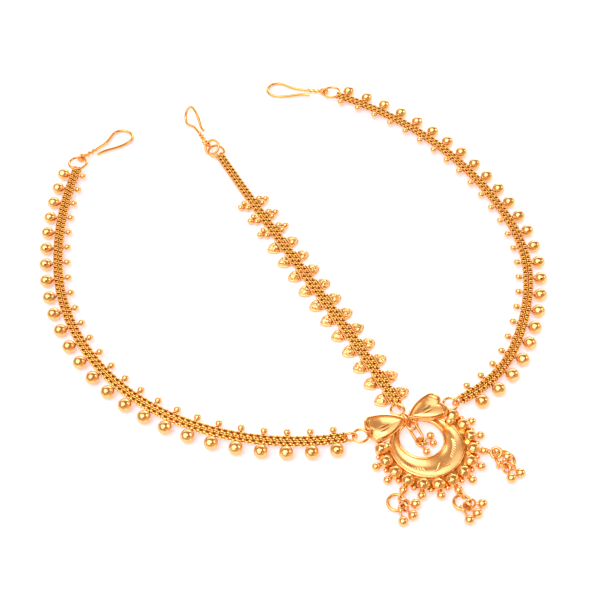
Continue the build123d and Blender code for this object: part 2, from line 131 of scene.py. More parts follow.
world = bpy.data.worlds.new("tent")
world.use_nodes = True
scene.world = world
nodes, links = world.node_tree.nodes, world.node_tree.links
direction = nodes.new("ShaderNodeTexCoord").outputs["Generated"]
height = nodes.new("ShaderNodeSeparateXYZ")
links.new(direction, height.inputs["Vector"])
fall = nodes.new("ShaderNodeMapRange")
fall.interpolation_type = "SMOOTHSTEP"
fall.inputs["From Max"].default_value = SKY_FALL
links.new(height.outputs["Z"], fall.inputs["Value"])
dome = nodes.new("ShaderNodeMix")
dome.data_type = "RGBA"
dome.inputs["A"].default_value = SKY_LOW
dome.inputs["B"].default_value = SKY_HIGH
links.new(fall.outputs["Result"], dome.inputs["Factor"])


def patch(under, colour, toward, half_angle, edge):
    """A round patch of one colour over the sky so far, with a soft edge; angles in degrees."""
    angle = nodes.new("ShaderNodeVectorMath")
    angle.operation = "DOT_PRODUCT"
    angle.inputs[1].default_value = toward.normalized()
    links.new(direction, angle.inputs[0])
    inside = nodes.new("ShaderNodeMapRange")
    inside.interpolation_type = "SMOOTHSTEP"
    inside.inputs["From Min"].default_value = cos(radians(half_angle + edge))
    inside.inputs["From Max"].default_value = cos(radians(half_angle))
    links.new(angle.outputs["Value"], inside.inputs["Value"])
    mix = nodes.new("ShaderNodeMix")
    mix.data_type = "RGBA"
    mix.inputs["B"].default_value = colour
    links.new(inside.outputs["Result"], mix.inputs["Factor"])
    links.new(under, mix.inputs["A"])
    return mix.outputs["Result"]


tent = dome.outputs["Result"]
tent = patch(tent, BACK_WALL, BACK_WALL_TOWARD, BACK_WALL_HALF_ANGLE, BACK_WALL_EDGE)
tent = patch(tent, SOFTBOX, SOFTBOX_TOWARD, SOFTBOX_HALF_ANGLE, SOFTBOX_EDGE)
tent = patch(tent, SKY_OPENING, CAMERA_PLACE, OPENING_HALF_ANGLE, OPENING_EDGE)
links.new(tent, nodes["Background"].inputs["Color"])
sideways = nodes.new("ShaderNodeMapRange")
sideways.inputs["From Min"].default_value = -1
sideways.inputs["To Min"].default_value = SKY_LEFT
sideways.inputs["To Max"].default_value = SKY_RIGHT
links.new(height.outputs["X"], sideways.inputs["Value"])
links.new(sideways.outputs["Result"], nodes["Background"].inputs["Strength"])
backdrop = nodes.new("ShaderNodeBackground")
backdrop.inputs["Color"].default_value = BACKDROP
seen = nodes.new("ShaderNodeMixShader")
links.new(nodes.new("ShaderNodeLightPath").outputs["Is Camera Ray"], seen.inputs["Fac"])
links.new(nodes["Background"].outputs["Background"], seen.inputs[1])
links.new(backdrop.outputs["Background"], seen.inputs[2])
links.new(seen.outputs["Shader"], nodes["World Output"].inputs["Surface"])


for name, place, size, radiance in LAMPS:
    data = bpy.data.lights.new(name, "AREA")
    data.shape = "RECTANGLE"
    data.size, data.size_y = (side * MM for side in size)
    data.energy = radiance * pi * data.size * data.size_y
    lamp = bpy.data.objects.new(name, data)
    lamp.location = Vector(place) * MM
    lamp.rotation_mode = "QUATERNION"
    lamp.rotation_quaternion = Vector(place).to_track_quat("Z", "Y")
    scene.collection.objects.link(lamp)

# ---- the gold ----
# Brass under a layer of yellow gold: polished on balls and wire, satin on the pressed plates. It
# is a little uneven, and has painted shade, redder and darker, in the recesses. The woven links are
# a deeper gold, the cut places sparkle with small facets, and the places inside the straps are
# painted shade of dark brown.
GOLD = (1.0, 0.6, 0.24, 1)
# Painted shade laid into the recesses of the gold, where nearby surfaces close round:
RECESS_PAINTED_SHADE = (0.66, 0.22, 0.03, 1)
WIRE_GOLD = (0.95, 0.5, 0.14, 1)
WOVEN_GOLD = (0.88, 0.43, 0.1, 1)
# Painted shade laid into the woven links' recesses, and how far and how strongly it reaches:
WOVEN_RECESS_PAINTED_SHADE = (0.6, 0.18, 0.018, 1)
PAINTED_SHADE_REACH = 0.7
PAINTED_SHADE_DARKEST = 0.15
PAINTED_SHADE_LIGHTEST = 0.7
PAINTED_SHADE_RAYS = 4
RIPPLE_DETAIL = 2
BRIGHT_SPOTS = 0.7
DULL_SPOTS = 1.35
LACQUER = 0.15
LACQUER_ROUGHNESS = 0.1
# Painted shade: dark brown metal inside the straps, on the inner blocks and the hidden bars.
PAINTED_SHADE_BROWN = (0.36, 0.11, 0.014, 1)
PAINTED_SHADE_ROUGHNESS = 0.45


def gold_finish(
    name, roughness, ripple_size, ripple_depth, facet_size=None, facet_depth=0.0,
    gold=GOLD, recess_painted_shade=RECESS_PAINTED_SHADE,
):
    """Gold with a slow ripple, and with small cut facets if a facet size is given; sizes in mm."""
    material, tree, shader = new_material(name)
    nodes, links = tree.nodes, tree.links
    place = nodes.new("ShaderNodeTexCoord").outputs["Object"]
    ripple = nodes.new("ShaderNodeTexNoise")
    ripple.inputs["Scale"].default_value = 1 / (ripple_size * MM)
    ripple.inputs["Detail"].default_value = RIPPLE_DETAIL
    bump = nodes.new("ShaderNodeBump")
    bump.inputs["Strength"].default_value = 1
    bump.inputs["Distance"].default_value = ripple_depth * MM
    gloss = nodes.new("ShaderNodeMapRange")
    gloss.inputs["To Min"].default_value = roughness * BRIGHT_SPOTS
    gloss.inputs["To Max"].default_value = roughness * DULL_SPOTS
    links.new(place, ripple.inputs["Vector"])
    links.new(ripple.outputs["Fac"], bump.inputs["Height"])
    links.new(ripple.outputs["Fac"], gloss.inputs["Value"])
    links.new(gloss.outputs["Result"], shader.inputs["Roughness"])
    if facet_size:
        cells = nodes.new("ShaderNodeTexVoronoi")
        cells.inputs["Scale"].default_value = 1 / (facet_size * MM)
        cuts = nodes.new("ShaderNodeBump")
        cuts.inputs["Strength"].default_value = 1
        cuts.inputs["Distance"].default_value = facet_depth * MM
        links.new(place, cells.inputs["Vector"])
        links.new(cells.outputs["Distance"], cuts.inputs["Height"])
        links.new(cuts.outputs["Normal"], bump.inputs["Normal"])
    links.new(bump.outputs["Normal"], shader.inputs["Normal"])
    # Painted shade: where ambient occlusion finds nearby surfaces, the colour turns to the darker,
    # redder shade colour.
    recess = nodes.new("ShaderNodeAmbientOcclusion")
    recess.samples = PAINTED_SHADE_RAYS
    recess.inputs["Distance"].default_value = PAINTED_SHADE_REACH * MM
    depth = nodes.new("ShaderNodeMapRange")
    depth.inputs["From Min"].default_value = PAINTED_SHADE_DARKEST
    depth.inputs["From Max"].default_value = PAINTED_SHADE_LIGHTEST
    colour = nodes.new("ShaderNodeMix")
    colour.data_type = "RGBA"
    colour.inputs["A"].default_value = recess_painted_shade
    colour.inputs["B"].default_value = gold
    links.new(recess.outputs["AO"], depth.inputs["Value"])
    links.new(depth.outputs["Result"], colour.inputs["Factor"])
    links.new(colour.outputs["Result"], shader.inputs["Base Color"])
    shader.inputs["Metallic"].default_value = 1
    shader.inputs["Coat Weight"].default_value = LACQUER
    shader.inputs["Coat Roughness"].default_value = LACQUER_ROUGHNESS
    return material


polished_gold = gold_finish("polished_gold", roughness=0.13, ripple_size=1.6, ripple_depth=0.06)
wire_gold = gold_finish(
    "wire_gold", roughness=0.2, ripple_size=0.9, ripple_depth=0.02, gold=WIRE_GOLD
)
woven_gold = gold_finish(
    "woven_gold", roughness=0.15, ripple_size=0.8, ripple_depth=0.02,
    gold=WOVEN_GOLD, recess_painted_shade=WOVEN_RECESS_PAINTED_SHADE,
)
satin_gold = gold_finish("satin_gold", roughness=0.3, ripple_size=1.8, ripple_depth=0.04)
# Painted shade: the dark brown material for what lies inside the straps.
painted_shade_brown, tree, shader = new_material("painted_shade_brown")
shader.inputs["Base Color"].default_value = PAINTED_SHADE_BROWN
shader.inputs["Metallic"].default_value = 1
shader.inputs["Roughness"].default_value = PAINTED_SHADE_ROUGHNESS
cut_gold = gold_finish(
    "cut_gold", roughness=0.13, ripple_size=1.2, ripple_depth=0.03, facet_size=0.5, facet_depth=0.15
)


def finish_piece(name, shape, slot, nodes, *materials):
    """Makes a piece from a bmesh: it stands for CAD nodes and rides with the body."""
    piece = mesh_object(name, shape, *materials)
    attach(piece, "root")
    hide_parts(*nodes)
    return piece


# ---- routes of the chains ----
# The three chains are soft and lie in loose curves on the table. Each leaves the pendant and runs
# through tangent arcs of (length, turn in degrees), and its bars stand at evenly widening gaps.
Route = namedtuple("Route", "x y z heading arcs first_bar first_gap last_gap bars")

LEFT = Route(
    16.43, -64.71, 2.0, 191, ((40.6, -30), (40, -33), (40, -28), (47.9, -20)), 3.7, 6.6, 6.76, 25
)
RIGHT = Route(
    47.93, -52.31, 2.0, 28, ((26.4, 37), (24, 15), (30, 28), (40, 20), (46.9, 26)),
    5.0, 6.12, 7.12, 25
)
CENTRE = Route(30.63, -53.31, 1.2, 115, ((40.4, 4), (40, -1), (38.6, -1)), 3.5, 6.5, 7.07, 14)


def placed(x, y, z, heading=0.0, pitch=0.0, roll=0.0):
    """A frame at a point: turned to a heading, pitched up, rolled about its own x; in degrees."""
    turn = Matrix.Rotation(radians(heading), 4, "Z") @ Matrix.Rotation(radians(-pitch), 4, "Y")
    return Matrix.Translation((x, y, z)) @ turn @ Matrix.Rotation(radians(roll), 4, "X")


def on_route(route, distance, turn=0.0):
    """A frame on a route, with x along it and then turned about the vertical."""
    x, y, heading = route.x, route.y, radians(route.heading)
    for length, bend in route.arcs:
        run = min(distance, length)
        rate = radians(bend) / length
        x += (sin(heading + rate * run) - sin(heading)) / rate
        y -= (cos(heading + rate * run) - cos(heading)) / rate
        heading += rate * run
        distance -= run
    return placed(x, y, route.z, degrees(heading) + turn)


def stations(route):
    """Distances of the bars, whose spacing grows evenly from the first gap to the last."""
    places = [route.first_bar]
    growth = (route.last_gap - route.first_gap) / (route.bars - 2)
    for gap in range(route.bars - 1):
        places.append(places[-1] + route.first_gap + growth * gap)
    return places


# ---- straps ----
# A strap is woven from small pressed links in two rows. In each row pairs of square links lie flat,
# one above the other, and a broad link on edge joins each pair to the next; the second row runs one
# link ahead. Inside, a plain block at each step stands for the inner links, dark brown as painted
# shade. A pin closes the pendant's end.
ROW_APART = 1.56
LINK_PITCH = 0.92
LINK_MEAN_R = 0.58
LINK_WALL = 0.3
LINK_HEIGHT = 0.36
LINK_ACROSS = 1.08
LINK_LAYER = 0.3
BROAD_LINK_MEAN_R = 0.38
BROAD_LINK_HALF_WIDTH = 0.6
BROAD_LINK_ARCH = 1.28
INNER_LINK_SHADE = (0.94, 2.5, 0.3)
LINK_SIDES = 8
LINK_SECTION_SIDES = 6
LINK_SQUARENESS = 3
INNER_SHADE_MATERIAL = 1
PIN_R = 0.3
PIN_LENGTH = 2.3
PIN_PLACE = 0.45
PIN_EDGE = 0.08
ROD_SIDES = 16


def hoop(mean_radius, wire, steps, sides, height=None):
    """A closed ring about z; its section is round, or an ellipse if a height is given."""
    shape = bmesh.new()
    section = bmesh.ops.create_circle(shape, segments=sides, radius=1)["verts"]
    squeeze = Matrix.Diagonal((wire, (height or wire), 1, 1))
    lift = Matrix.Translation((mean_radius, 0, 0)) @ Matrix.Rotation(radians(90), 4, "X")
    bmesh.ops.transform(shape, matrix=lift @ squeeze, verts=section)
    bmesh.ops.spin(
        shape, geom=section + shape.edges[:], cent=(0, 0, 0), axis=(0, 0, 1),
        angle=tau, steps=steps, use_merge=True,
    )
    bmesh.ops.recalc_face_normals(shape, faces=shape.faces)
    return shape


def rod(radius, start, end):
    """A round rod along x with flat ends."""
    shape = bmesh.new()
    turn = Matrix.Translation(((start + end) / 2, 0, 0)) @ Matrix.Rotation(radians(90), 4, "Y")
    bmesh.ops.create_cone(
        shape, cap_ends=True, segments=ROD_SIDES, radius1=radius, radius2=radius,
        depth=end - start, matrix=turn,
    )
    return shape


def soften(shape, width, segments):
    """Rounds every edge of a shape over a width."""
    bmesh.ops.bevel(
        shape, geom=shape.edges[:], offset=width, segments=segments, profile=0.5,
        affect="EDGES", material=-1,
    )


def stamp(shape, unit, places, material_index=None):
    """Adds a copy of a unit bmesh to a shape at each place; the unit stays as it is."""
    mesh = bpy.data.meshes.new("stamp")
    unit.to_mesh(mesh)
    if material_index is not None:
        mesh.polygons.foreach_set("material_index", [material_index] * len(mesh.polygons))
    for place in places:
        copy = mesh.copy()
        copy.transform(place)
        shape.from_mesh(copy)
        bpy.data.meshes.remove(copy)
    bpy.data.meshes.remove(mesh)


def square_off(shape):
    """Turns a round hoop about z into a rounded square one."""
    for vert in shape.verts:
        turn = atan2(vert.co.y, vert.co.x)
        reach = abs(cos(turn)) ** LINK_SQUARENESS + abs(sin(turn)) ** LINK_SQUARENESS
        vert.co.xy *= reach ** (-1 / LINK_SQUARENESS)


flat_link = hoop(LINK_MEAN_R, LINK_WALL / 2, LINK_SIDES, LINK_SECTION_SIDES, LINK_HEIGHT / 2)
square_off(flat_link)
broad_link = hoop(
    BROAD_LINK_MEAN_R, LINK_WALL / 2, LINK_SIDES, LINK_SECTION_SIDES, BROAD_LINK_HALF_WIDTH
)
square_off(broad_link)
# Painted shade: a dark block at each step fills the holes of the weave with dark brown.
inner_link_shade = bmesh.new()
bmesh.ops.create_cube(inner_link_shade, size=1, matrix=Matrix.Diagonal((*INNER_LINK_SHADE, 1)))
pin = rod(PIN_R, -PIN_LENGTH / 2, PIN_LENGTH / 2)
soften(pin, PIN_EDGE, segments=2)
across = Matrix.Diagonal((1, LINK_ACROSS, 1, 1))
on_edge = Matrix.Diagonal((1, 1, BROAD_LINK_ARCH, 1)) @ Matrix.Rotation(radians(90), 4, "X")

for name, route in (("strap_left", LEFT), ("strap_right", RIGHT), ("strap_centre", CENTRE)):
    length = sum(arc[0] for arc in route.arcs)
    count = int((length - 2 * LINK_MEAN_R) / LINK_PITCH) + 1
    start = (length - (count - 1) * LINK_PITCH) / 2
    shape = bmesh.new()
    for row in (0, 1):
        aside = Matrix.Translation((0, (row - 0.5) * ROW_APART, 0))
        steps = [on_route(route, start + step * LINK_PITCH) @ aside for step in range(count)]
        for side in (LINK_LAYER, -LINK_LAYER):
            layer = Matrix.Translation((0, 0, side))
            stamp(shape, flat_link, [place @ layer @ across for place in steps[row::2]])
        stamp(shape, broad_link, [place @ on_edge for place in steps[1 - row :: 2]])
    middle = [on_route(route, start + step * LINK_PITCH) for step in range(count)]
    # The blocks take the dark brown painted-shade material.
    stamp(shape, inner_link_shade, middle, INNER_SHADE_MATERIAL)
    stamp(shape, pin, [on_route(route, PIN_PLACE, 90)])
    finish_piece(name + "_woven", shape, "woven_gold", [name], woven_gold, painted_shade_brown)

# ---- side bars ----
# A wire bar crosses the strap and ends in a large hollow ball outside and a small ball inside.
# Each ball is soldered on over a turned collar; the large one has soft flats pressed round it.
# The bar is painted dark brown where the strap hides it, as painted shade.
BAR_R = 0.28
BAR_SIDES = 28
PAINTED_SHADE_HALF_LENGTH = 1.25
PAINTED_SHADE_MATERIAL = 1
BALL_R = 2.0
BALL_OUT = 3.78
BALL_START = 25
SIDE_FLATS = ((0, 1), (48, 7), (92, 8))
FLAT_DEPTH = 0.085
FLAT_REACH = 0.02
SMALL_BALL_R = 1.05
SMALL_BALL_OUT = 2.95
SMALL_BALL_END = 146
COLLAR_START = 1.6
SMALL_COLLAR = ((-1.98, 0.5), (-1.86, 0.58), (-1.68, 0.58), (-COLLAR_START, 0.46))
LARGE_COLLAR = ((COLLAR_START, 0.56), (1.68, 0.66), (1.8, 0.68), (1.88, 0.74))
WELD = 0.001


def lathe(profile, steps):
    """A turned shape about x from (along, radius) points; it closes where the radius is zero."""
    shape = bmesh.new()
    points = [shape.verts.new((along, 0, radius)) for along, radius in profile]
    edges = [shape.edges.new(pair) for pair in zip(points, points[1:])]
    bmesh.ops.spin(
        shape, geom=points + edges, cent=(0, 0, 0), axis=(1, 0, 0),
        angle=tau, steps=steps, use_merge=True,
    )
    bmesh.ops.remove_doubles(shape, verts=shape.verts, dist=WELD)
    bmesh.ops.recalc_face_normals(shape, faces=shape.faces)
    return shape


def ball_points(centre, radius, start, end, count):
    """Profile points of a ball on the lathe's axis, from one angle to another, in degrees."""
    angles = [radians(start + (end - start) * step / count) for step in range(count + 1)]
    return [(centre - radius * cos(angle), radius * sin(angle)) for angle in angles]


def press_flats(shape, centre, radius, depth, rings):
    """Presses soft flats on a ball; rings are (lean from x in degrees, how many round)."""
    flats = []
    for lean, count in rings:
        along, aside = cos(radians(lean)), sin(radians(lean))
        for step in range(count):
            spin = radians(360 / count * step + lean)
            flats.append(Vector((along, aside * cos(spin), aside * sin(spin))))
    for vert in shape.verts:
        here = vert.co - centre
        if abs(here.length - radius) > FLAT_REACH:
            continue
        for out in flats:
            over = here.dot(out) - (radius - depth)
            if over > 0:
                here -= out * over
        vert.co = centre + here


small_end = ball_points(-SMALL_BALL_OUT, SMALL_BALL_R, 0, SMALL_BALL_END, count=9)
large_end = ball_points(BALL_OUT, BALL_R, BALL_START, 180, count=18)
core = ((-COLLAR_START, BAR_R), (COLLAR_START, BAR_R))
side_bar = lathe([*small_end, *SMALL_COLLAR, *core, *LARGE_COLLAR, *large_end], BAR_SIDES)
# Painted shade: the middle of the bar, inside the strap, takes the dark brown material.
for face in side_bar.faces:
    if abs(face.calc_center_median().x) < PAINTED_SHADE_HALF_LENGTH:
        face.material_index = PAINTED_SHADE_MATERIAL
press_flats(side_bar, Vector((BALL_OUT, 0, 0)), BALL_R, FLAT_DEPTH, SIDE_FLATS)

for name, route, side in (("side_bars_left", LEFT, 1), ("side_bars_right", RIGHT, -1)):
    shape = bmesh.new()
    stamp(shape, side_bar, [on_route(route, place, 90 * side) for place in stations(route)])
    finish_piece(name + "_turned", shape, "bead_gold", [name], polished_gold, painted_shade_brown)

# ---- centre bars ----
# Nearer the pendant each wire bar carries two hearts pressed from sheet, with a plain wall and a
# cut, domed top; the last three bars carry two triangles of soldered grains. A straight flange
# closes each of them against the strap.
HEARTS = 11
LOBE_X = 2.85
HEART_NOTCH = (2.2, 0)
HEART_CORNER = (1.85, 1.2)
HEART_WIDEST = (2.85, 2.1)
HEART_CHEEK = (4.5, 1.42)
HEART_TIP = (5.55, 0)
HEART_MIDDLE = 3.5
HEART_WALL = ((0.97, -1.1), (1.0, -1.02), (1.0, -0.42), (0.985, -0.3), (0.94, -0.24), (0.89, -0.24))
DOME_SIZE = 0.88
DOME_FLOOR = -0.2
DOME_TOP = 1.0
DOME_STEPS = 9
HEART_FLANGE = (0.5, 4.3, -1.1, 0.5)
GRAIN_FLANGE = (1.2, 3.4, -0.6, 0.6)
FLANGE_EDGE = 0.16
GRAIN_R = 1.08
GRAIN_NEAR = 2.8
GRAIN_FAR = 4.6
GRAIN_APART = 1.2
CUT_MATERIAL = 1


def sheet(columns, rows, place):
    """A grid of faces: place(u, v) gives each point for u and v from 0 to 1; meeting edges join."""
    shape = bmesh.new()
    bmesh.ops.create_grid(shape, x_segments=columns, y_segments=rows, size=0.5)
    for vert in shape.verts:
        vert.co = place(vert.co.x + 0.5, vert.co.y + 0.5)
    bmesh.ops.remove_doubles(shape, verts=shape.verts, dist=WELD)
    bmesh.ops.recalc_face_normals(shape, faces=shape.faces)
    return shape


def close_ends(shape):
    """Closes the open ends of a shape with flat faces."""
    bmesh.ops.holes_fill(shape, edges=[edge for edge in shape.edges if edge.is_boundary], sides=0)
    bmesh.ops.recalc_face_normals(shape, faces=shape.faces)


def arc_through(first, middle, last, steps):
    """Points on the arc through three points, without the last one."""
    (ax, ay), (bx, by), (cx, cy) = first, middle, last
    twice = 2 * (ax * (by - cy) + bx * (cy - ay) + cx * (ay - by))
    aa, bb, cc = ax * ax + ay * ay, bx * bx + by * by, cx * cx + cy * cy
    x = (aa * (by - cy) + bb * (cy - ay) + cc * (ay - by)) / twice
    y = (aa * (cx - bx) + bb * (ax - cx) + cc * (bx - ax)) / twice
    radius = Vector((ax - x, ay - y)).length
    start, through, end = (atan2(py - y, px - x) for px, py in (first, middle, last))
    clockwise = (start - through) % tau + (through - end) % tau < tau
    sweep = -((start - end) % tau) if clockwise else (end - start) % tau
    angles = [start + sweep * step / steps for step in range(steps)]
    return [(x + radius * cos(angle), y + radius * sin(angle)) for angle in angles]


def heart_outline(points, steps, end_steps):
    """A closed heart through five points of its +Y half, joined by two arcs and then mirrored."""
    near, side, shoulder, cheek, far = points
    half = arc_through(near, side, shoulder, steps) + arc_through(shoulder, cheek, far, end_steps)
    return half + [far] + [(x, -y) for x, y in half[:0:-1]]


def pressed(outline, middle, section, round_bowl=None):
    """A pressed shape: an outline scaled about (middle, 0) to each (size, height) of its section.

    With round_bowl the outer end turns into an ellipse toward the middle.
    """
    last = len(section) - 1

    def place(u, v):
        x, y = outline[round(u * len(outline)) % len(outline)]
        size, z = section[round(v * last)]
        here = Vector((x - middle, y, 0)) * size
        if round_bowl and size:
            here = round_bowl(here, size)
        return Vector((middle, 0, z)) + here

    shape = sheet(len(outline), last, place)
    close_ends(shape)
    return shape


def flange(thickness, width, low, high):
    """The straight bar of metal between the strap and a heart or a triangle of grains."""
    shape = bmesh.new()
    size = Matrix.Diagonal((thickness, width, high - low, 1))
    middle = Matrix.Translation((COLLAR_START + thickness / 2, 0, (low + high) / 2))
    bmesh.ops.create_cube(shape, size=1, matrix=middle @ size)
    soften(shape, FLANGE_EDGE, segments=3)
    return shape


def ball(radius, round_steps, up_steps):
    """A plain ball about the origin."""
    shape = bmesh.new()
    bmesh.ops.create_uvsphere(shape, u_segments=round_steps, v_segments=up_steps, radius=radius)
    return shape


heart_half = (HEART_NOTCH, HEART_CORNER, HEART_WIDEST, HEART_CHEEK, HEART_TIP)
outline = heart_outline(heart_half, steps=12, end_steps=12)
section = list(HEART_WALL)
for step in range(DOME_STEPS + 1):
    angle = pi / 2 * step / DOME_STEPS
    section.append((DOME_SIZE * cos(angle), DOME_FLOOR + (DOME_TOP - DOME_FLOOR) * sin(angle)))
heart = pressed(outline, HEART_MIDDLE, section)
for face in heart.faces:
    if face.calc_center_median().z > DOME_FLOOR:
        face.material_index = CUT_MATERIAL
heart_flange = flange(*HEART_FLANGE)
grain_flange = flange(*GRAIN_FLANGE)
grain = ball(GRAIN_R, round_steps=20, up_steps=12)
bar = rod(BAR_R, -LOBE_X, LOBE_X)

shape = bmesh.new()
for place in stations(CENTRE)[:HEARTS]:
    sides = [on_route(CENTRE, place, 90), on_route(CENTRE, place, -90)]
    stamp(shape, heart, sides)
    stamp(shape, heart_flange, sides)
    stamp(shape, bar, sides[:1])
finish_piece("heart_bars_pressed", shape, "bead_gold", ["heart_bars"], polished_gold, cut_gold)

shape = bmesh.new()
for place in stations(CENTRE)[HEARTS:]:
    sides = [on_route(CENTRE, place, 90), on_route(CENTRE, place, -90)]
    for x, y in ((GRAIN_NEAR, GRAIN_APART), (GRAIN_NEAR, -GRAIN_APART), (GRAIN_FAR, 0)):
        stamp(shape, grain, [side @ Matrix.Translation((x, y, 0)) for side in sides])
    stamp(shape, grain_flange, sides)
    stamp(shape, bar, sides[:1])
finish_piece("cluster_bars_soldered", shape, "bead_gold", ["cluster_bars"], polished_gold)

# ---- pendant ----
# One soldered piece: a pressed crescent with wire rims, a half ring of balls on a backing strip,
# a bow of two dished leaves, and the rings that hold the chains, the tassels and the middle drop.
# Its own frame has the crescent's centre at the origin and the bow toward +Y.
PENDANT = placed(37.73, -67.61, 0, 28.5)
CRESCENT_R = 9.9
HOLE_R = 6.45
HOLE_SHIFT = 2.7
PLATE_FLOOR = 1.0
DISH_EDGE = 2.2
DISH_DEPTH = 0.95
DISH_STEEPNESS = 0.17
RIM_WIRE = 0.38
INNER_RIM_WIRE = 0.45
RIM_Z = 2.1
CRESCENT_STEPS = 120
DISH_STEPS = 24
HOLE_STEPS = 96
RIM_SIDES = 12
SATIN_MATERIAL = 1


def polar(radius, turn, z):
    """A frame at a turn in degrees about the crescent's centre, with x outward."""
    return PENDANT @ placed(radius * cos(radians(turn)), radius * sin(radians(turn)), z, turn)


def crescent_point(turn, across, z):
    """A point on the crescent: across is 0 at its outer edge and 1 at its hole; turn in degrees."""
    way = Vector((cos(radians(turn)), sin(radians(turn)), 0))
    outer = way * CRESCENT_R
    inner = way * HOLE_R + Vector((0, HOLE_SHIFT, 0))
    return outer.lerp(inner, across) + Vector((0, 0, z))


def dish_height(turn, across):
    """The height of the crescent's dished face, which is shallower where the crescent is narrow."""
    width = (crescent_point(turn, 0, 0) - crescent_point(turn, 1, 0)).length
    depth = min(DISH_DEPTH, DISH_STEEPNESS * width)
    return DISH_EDGE - depth * (1 - (2 * across - 1) ** 2)


def crescent_section(turn, v):
    """The plate's section at a turn: the dished face for v up to a half, then wall and back."""
    if v <= 0.5:
        return crescent_point(turn, 2 * v, dish_height(turn, 2 * v))
    return crescent_point(turn, 2 - 2 * v, PLATE_FLOOR)


shape = bmesh.new()
plate = sheet(CRESCENT_STEPS, DISH_STEPS, lambda u, v: crescent_section(360 * u, v))
bmesh.ops.bridge_loops(plate, edges=[edge for edge in plate.edges if edge.is_boundary])
bmesh.ops.recalc_face_normals(plate, faces=plate.faces)
stamp(shape, plate, [PENDANT], SATIN_MATERIAL)
outer_rim = hoop(CRESCENT_R, RIM_WIRE, CRESCENT_STEPS, RIM_SIDES)
inner_rim = hoop(HOLE_R, INNER_RIM_WIRE, HOLE_STEPS, RIM_SIDES)
for rim, wire, shift in ((outer_rim, RIM_WIRE, 0), (inner_rim, INNER_RIM_WIRE, HOLE_SHIFT)):
    stamp(shape, rim, [PENDANT @ placed(0, shift, z) for z in (PLATE_FLOOR + wire, RIM_Z)])

# ---- engraving on the crescent ----
# Bright cuts made in the dish by hand. There is a row of short slanting strokes on each side, and
# a few long ones that cross at the widest part.
STROKES = 8
STROKE_SIZE = (2.1, 0.66, 0.17)
LONG_CUT_SIZE = (5.4, 0.44, 0.1)
STROKE_FIRST = 33
STROKE_STEP = 5.4
STROKE_SLANT = 52
STROKE_ACROSS = 0.52
LONG_CUTS = ((-14, 0.32, 24), (-6, 0.5, 16), (8, 0.5, -16), (15, 0.33, -25), (0, 0.62, 38))


def cut(length, width, rise):
    """A thin bright ridge with two sloping faces, pointed at both ends, along x."""
    shape = bmesh.new()
    bmesh.ops.create_cone(shape, cap_ends=True, segments=4, radius1=1, radius2=0, depth=1)
    bmesh.ops.translate(shape, verts=shape.verts, vec=(0, 0, 0.5))
    bmesh.ops.scale(shape, verts=shape.verts, vec=(length / 2, width / 2, rise))
    return shape


def on_dish(turn, across, slant):
    """A frame on the dished face, with x along the crescent and then slanted, in degrees."""
    here = crescent_point(turn, across, dish_height(turn, across))
    return PENDANT @ placed(*here, turn + 90 + slant)


stroke = cut(*STROKE_SIZE)
for side in (1, -1):
    turns = [-90 + side * (STROKE_FIRST + STROKE_STEP * step) for step in range(STROKES)]
    stamp(shape, stroke, [on_dish(turn, STROKE_ACROSS, side * STROKE_SLANT) for turn in turns])
long_cuts = [on_dish(turn - 90, across, slant) for turn, across, slant in LONG_CUTS]
stamp(shape, cut(*LONG_CUT_SIZE), long_cuts)
finish_piece("pendant_crescent", shape, "pendant_gold", ["pendant"], polished_gold, satin_gold)

# ---- balls round the crescent ----
# Thirteen faceted balls are soldered to a flat backing strip with small grains between them, and
# each but the end two has a little ball on a short neck outside it. Three of those carry a wire
# eye for a tassel, and a plain ball fills each corner under the bow.
BEAD_R = 1.95
BEAD_Z = 2.15
BEAD_RING_R = 12.5
BEAD_STEP = 18.8
BEAD_SIDE_COUNT = 6
BEAD_FLATS = ((0, 1), (46, 6), (88, 8))
BEAD_FLAT_DEPTH = 0.16
BACKING_WIDTH = 3.4
BACKING_THICK = 0.8
BACKING_STEPS = 96
SMALL_GRAIN_R = 0.7
SMALL_GRAIN_RING_R = 13.9
OUTER_BALL_R = 1.2
OUTER_BALL_START = 40
OUTER_RING_R = 15.5
OUTER_Z = 1.6
NECK_IN_BEAD = 0.6
NECK_START = BEAD_RING_R - OUTER_RING_R + BEAD_R * NECK_IN_BEAD
OUTER_NECK = ((NECK_START, 0), (NECK_START, 0.6), (-1.35, 0.52), (-1.2, 0.66), (-1.05, 0.66))
EYE_RING_R = 17.4
EYE_R = 1.0
EYE_WIRE = 0.27
EYE_STEPS = 28
EYE_SIDES = 10
TASSEL_SLOTS = (-3, 0, 3)
CORNER_BALL_R = 1.4
CORNER_BALL_Z = 2.4
CORNERS = ((-9.8, 4.8), (9.6, 3.5))

shape = bmesh.new()
bead = ball(BEAD_R, round_steps=32, up_steps=20)
press_flats(bead, Vector((0, 0, 0)), BEAD_R, BEAD_FLAT_DEPTH, BEAD_FLATS)
upright = Matrix.Rotation(radians(-90), 3, "Y")
bmesh.ops.rotate(bead, verts=bead.verts, cent=(0, 0, 0), matrix=upright)
slots = range(-BEAD_SIDE_COUNT, BEAD_SIDE_COUNT + 1)
turns = [BEAD_STEP * slot - 90 for slot in slots]
stamp(shape, bead, [polar(BEAD_RING_R, turn, BEAD_Z) for turn in turns])

strip_turn = BEAD_STEP * BEAD_SIDE_COUNT
strip_loop = (
    (CRESCENT_R, 0), (CRESCENT_R, BACKING_THICK), (CRESCENT_R + BACKING_WIDTH, BACKING_THICK),
    (CRESCENT_R + BACKING_WIDTH, 0), (CRESCENT_R, 0),
)
strip_sides = len(strip_loop) - 1


def strip_point(u, v):
    """The backing strip's surface: round the crescent with u, and round its section with v."""
    radius, z = strip_loop[round(v * strip_sides)]
    return polar(radius, -90 + strip_turn * (2 * u - 1), PLATE_FLOOR + z).to_translation()


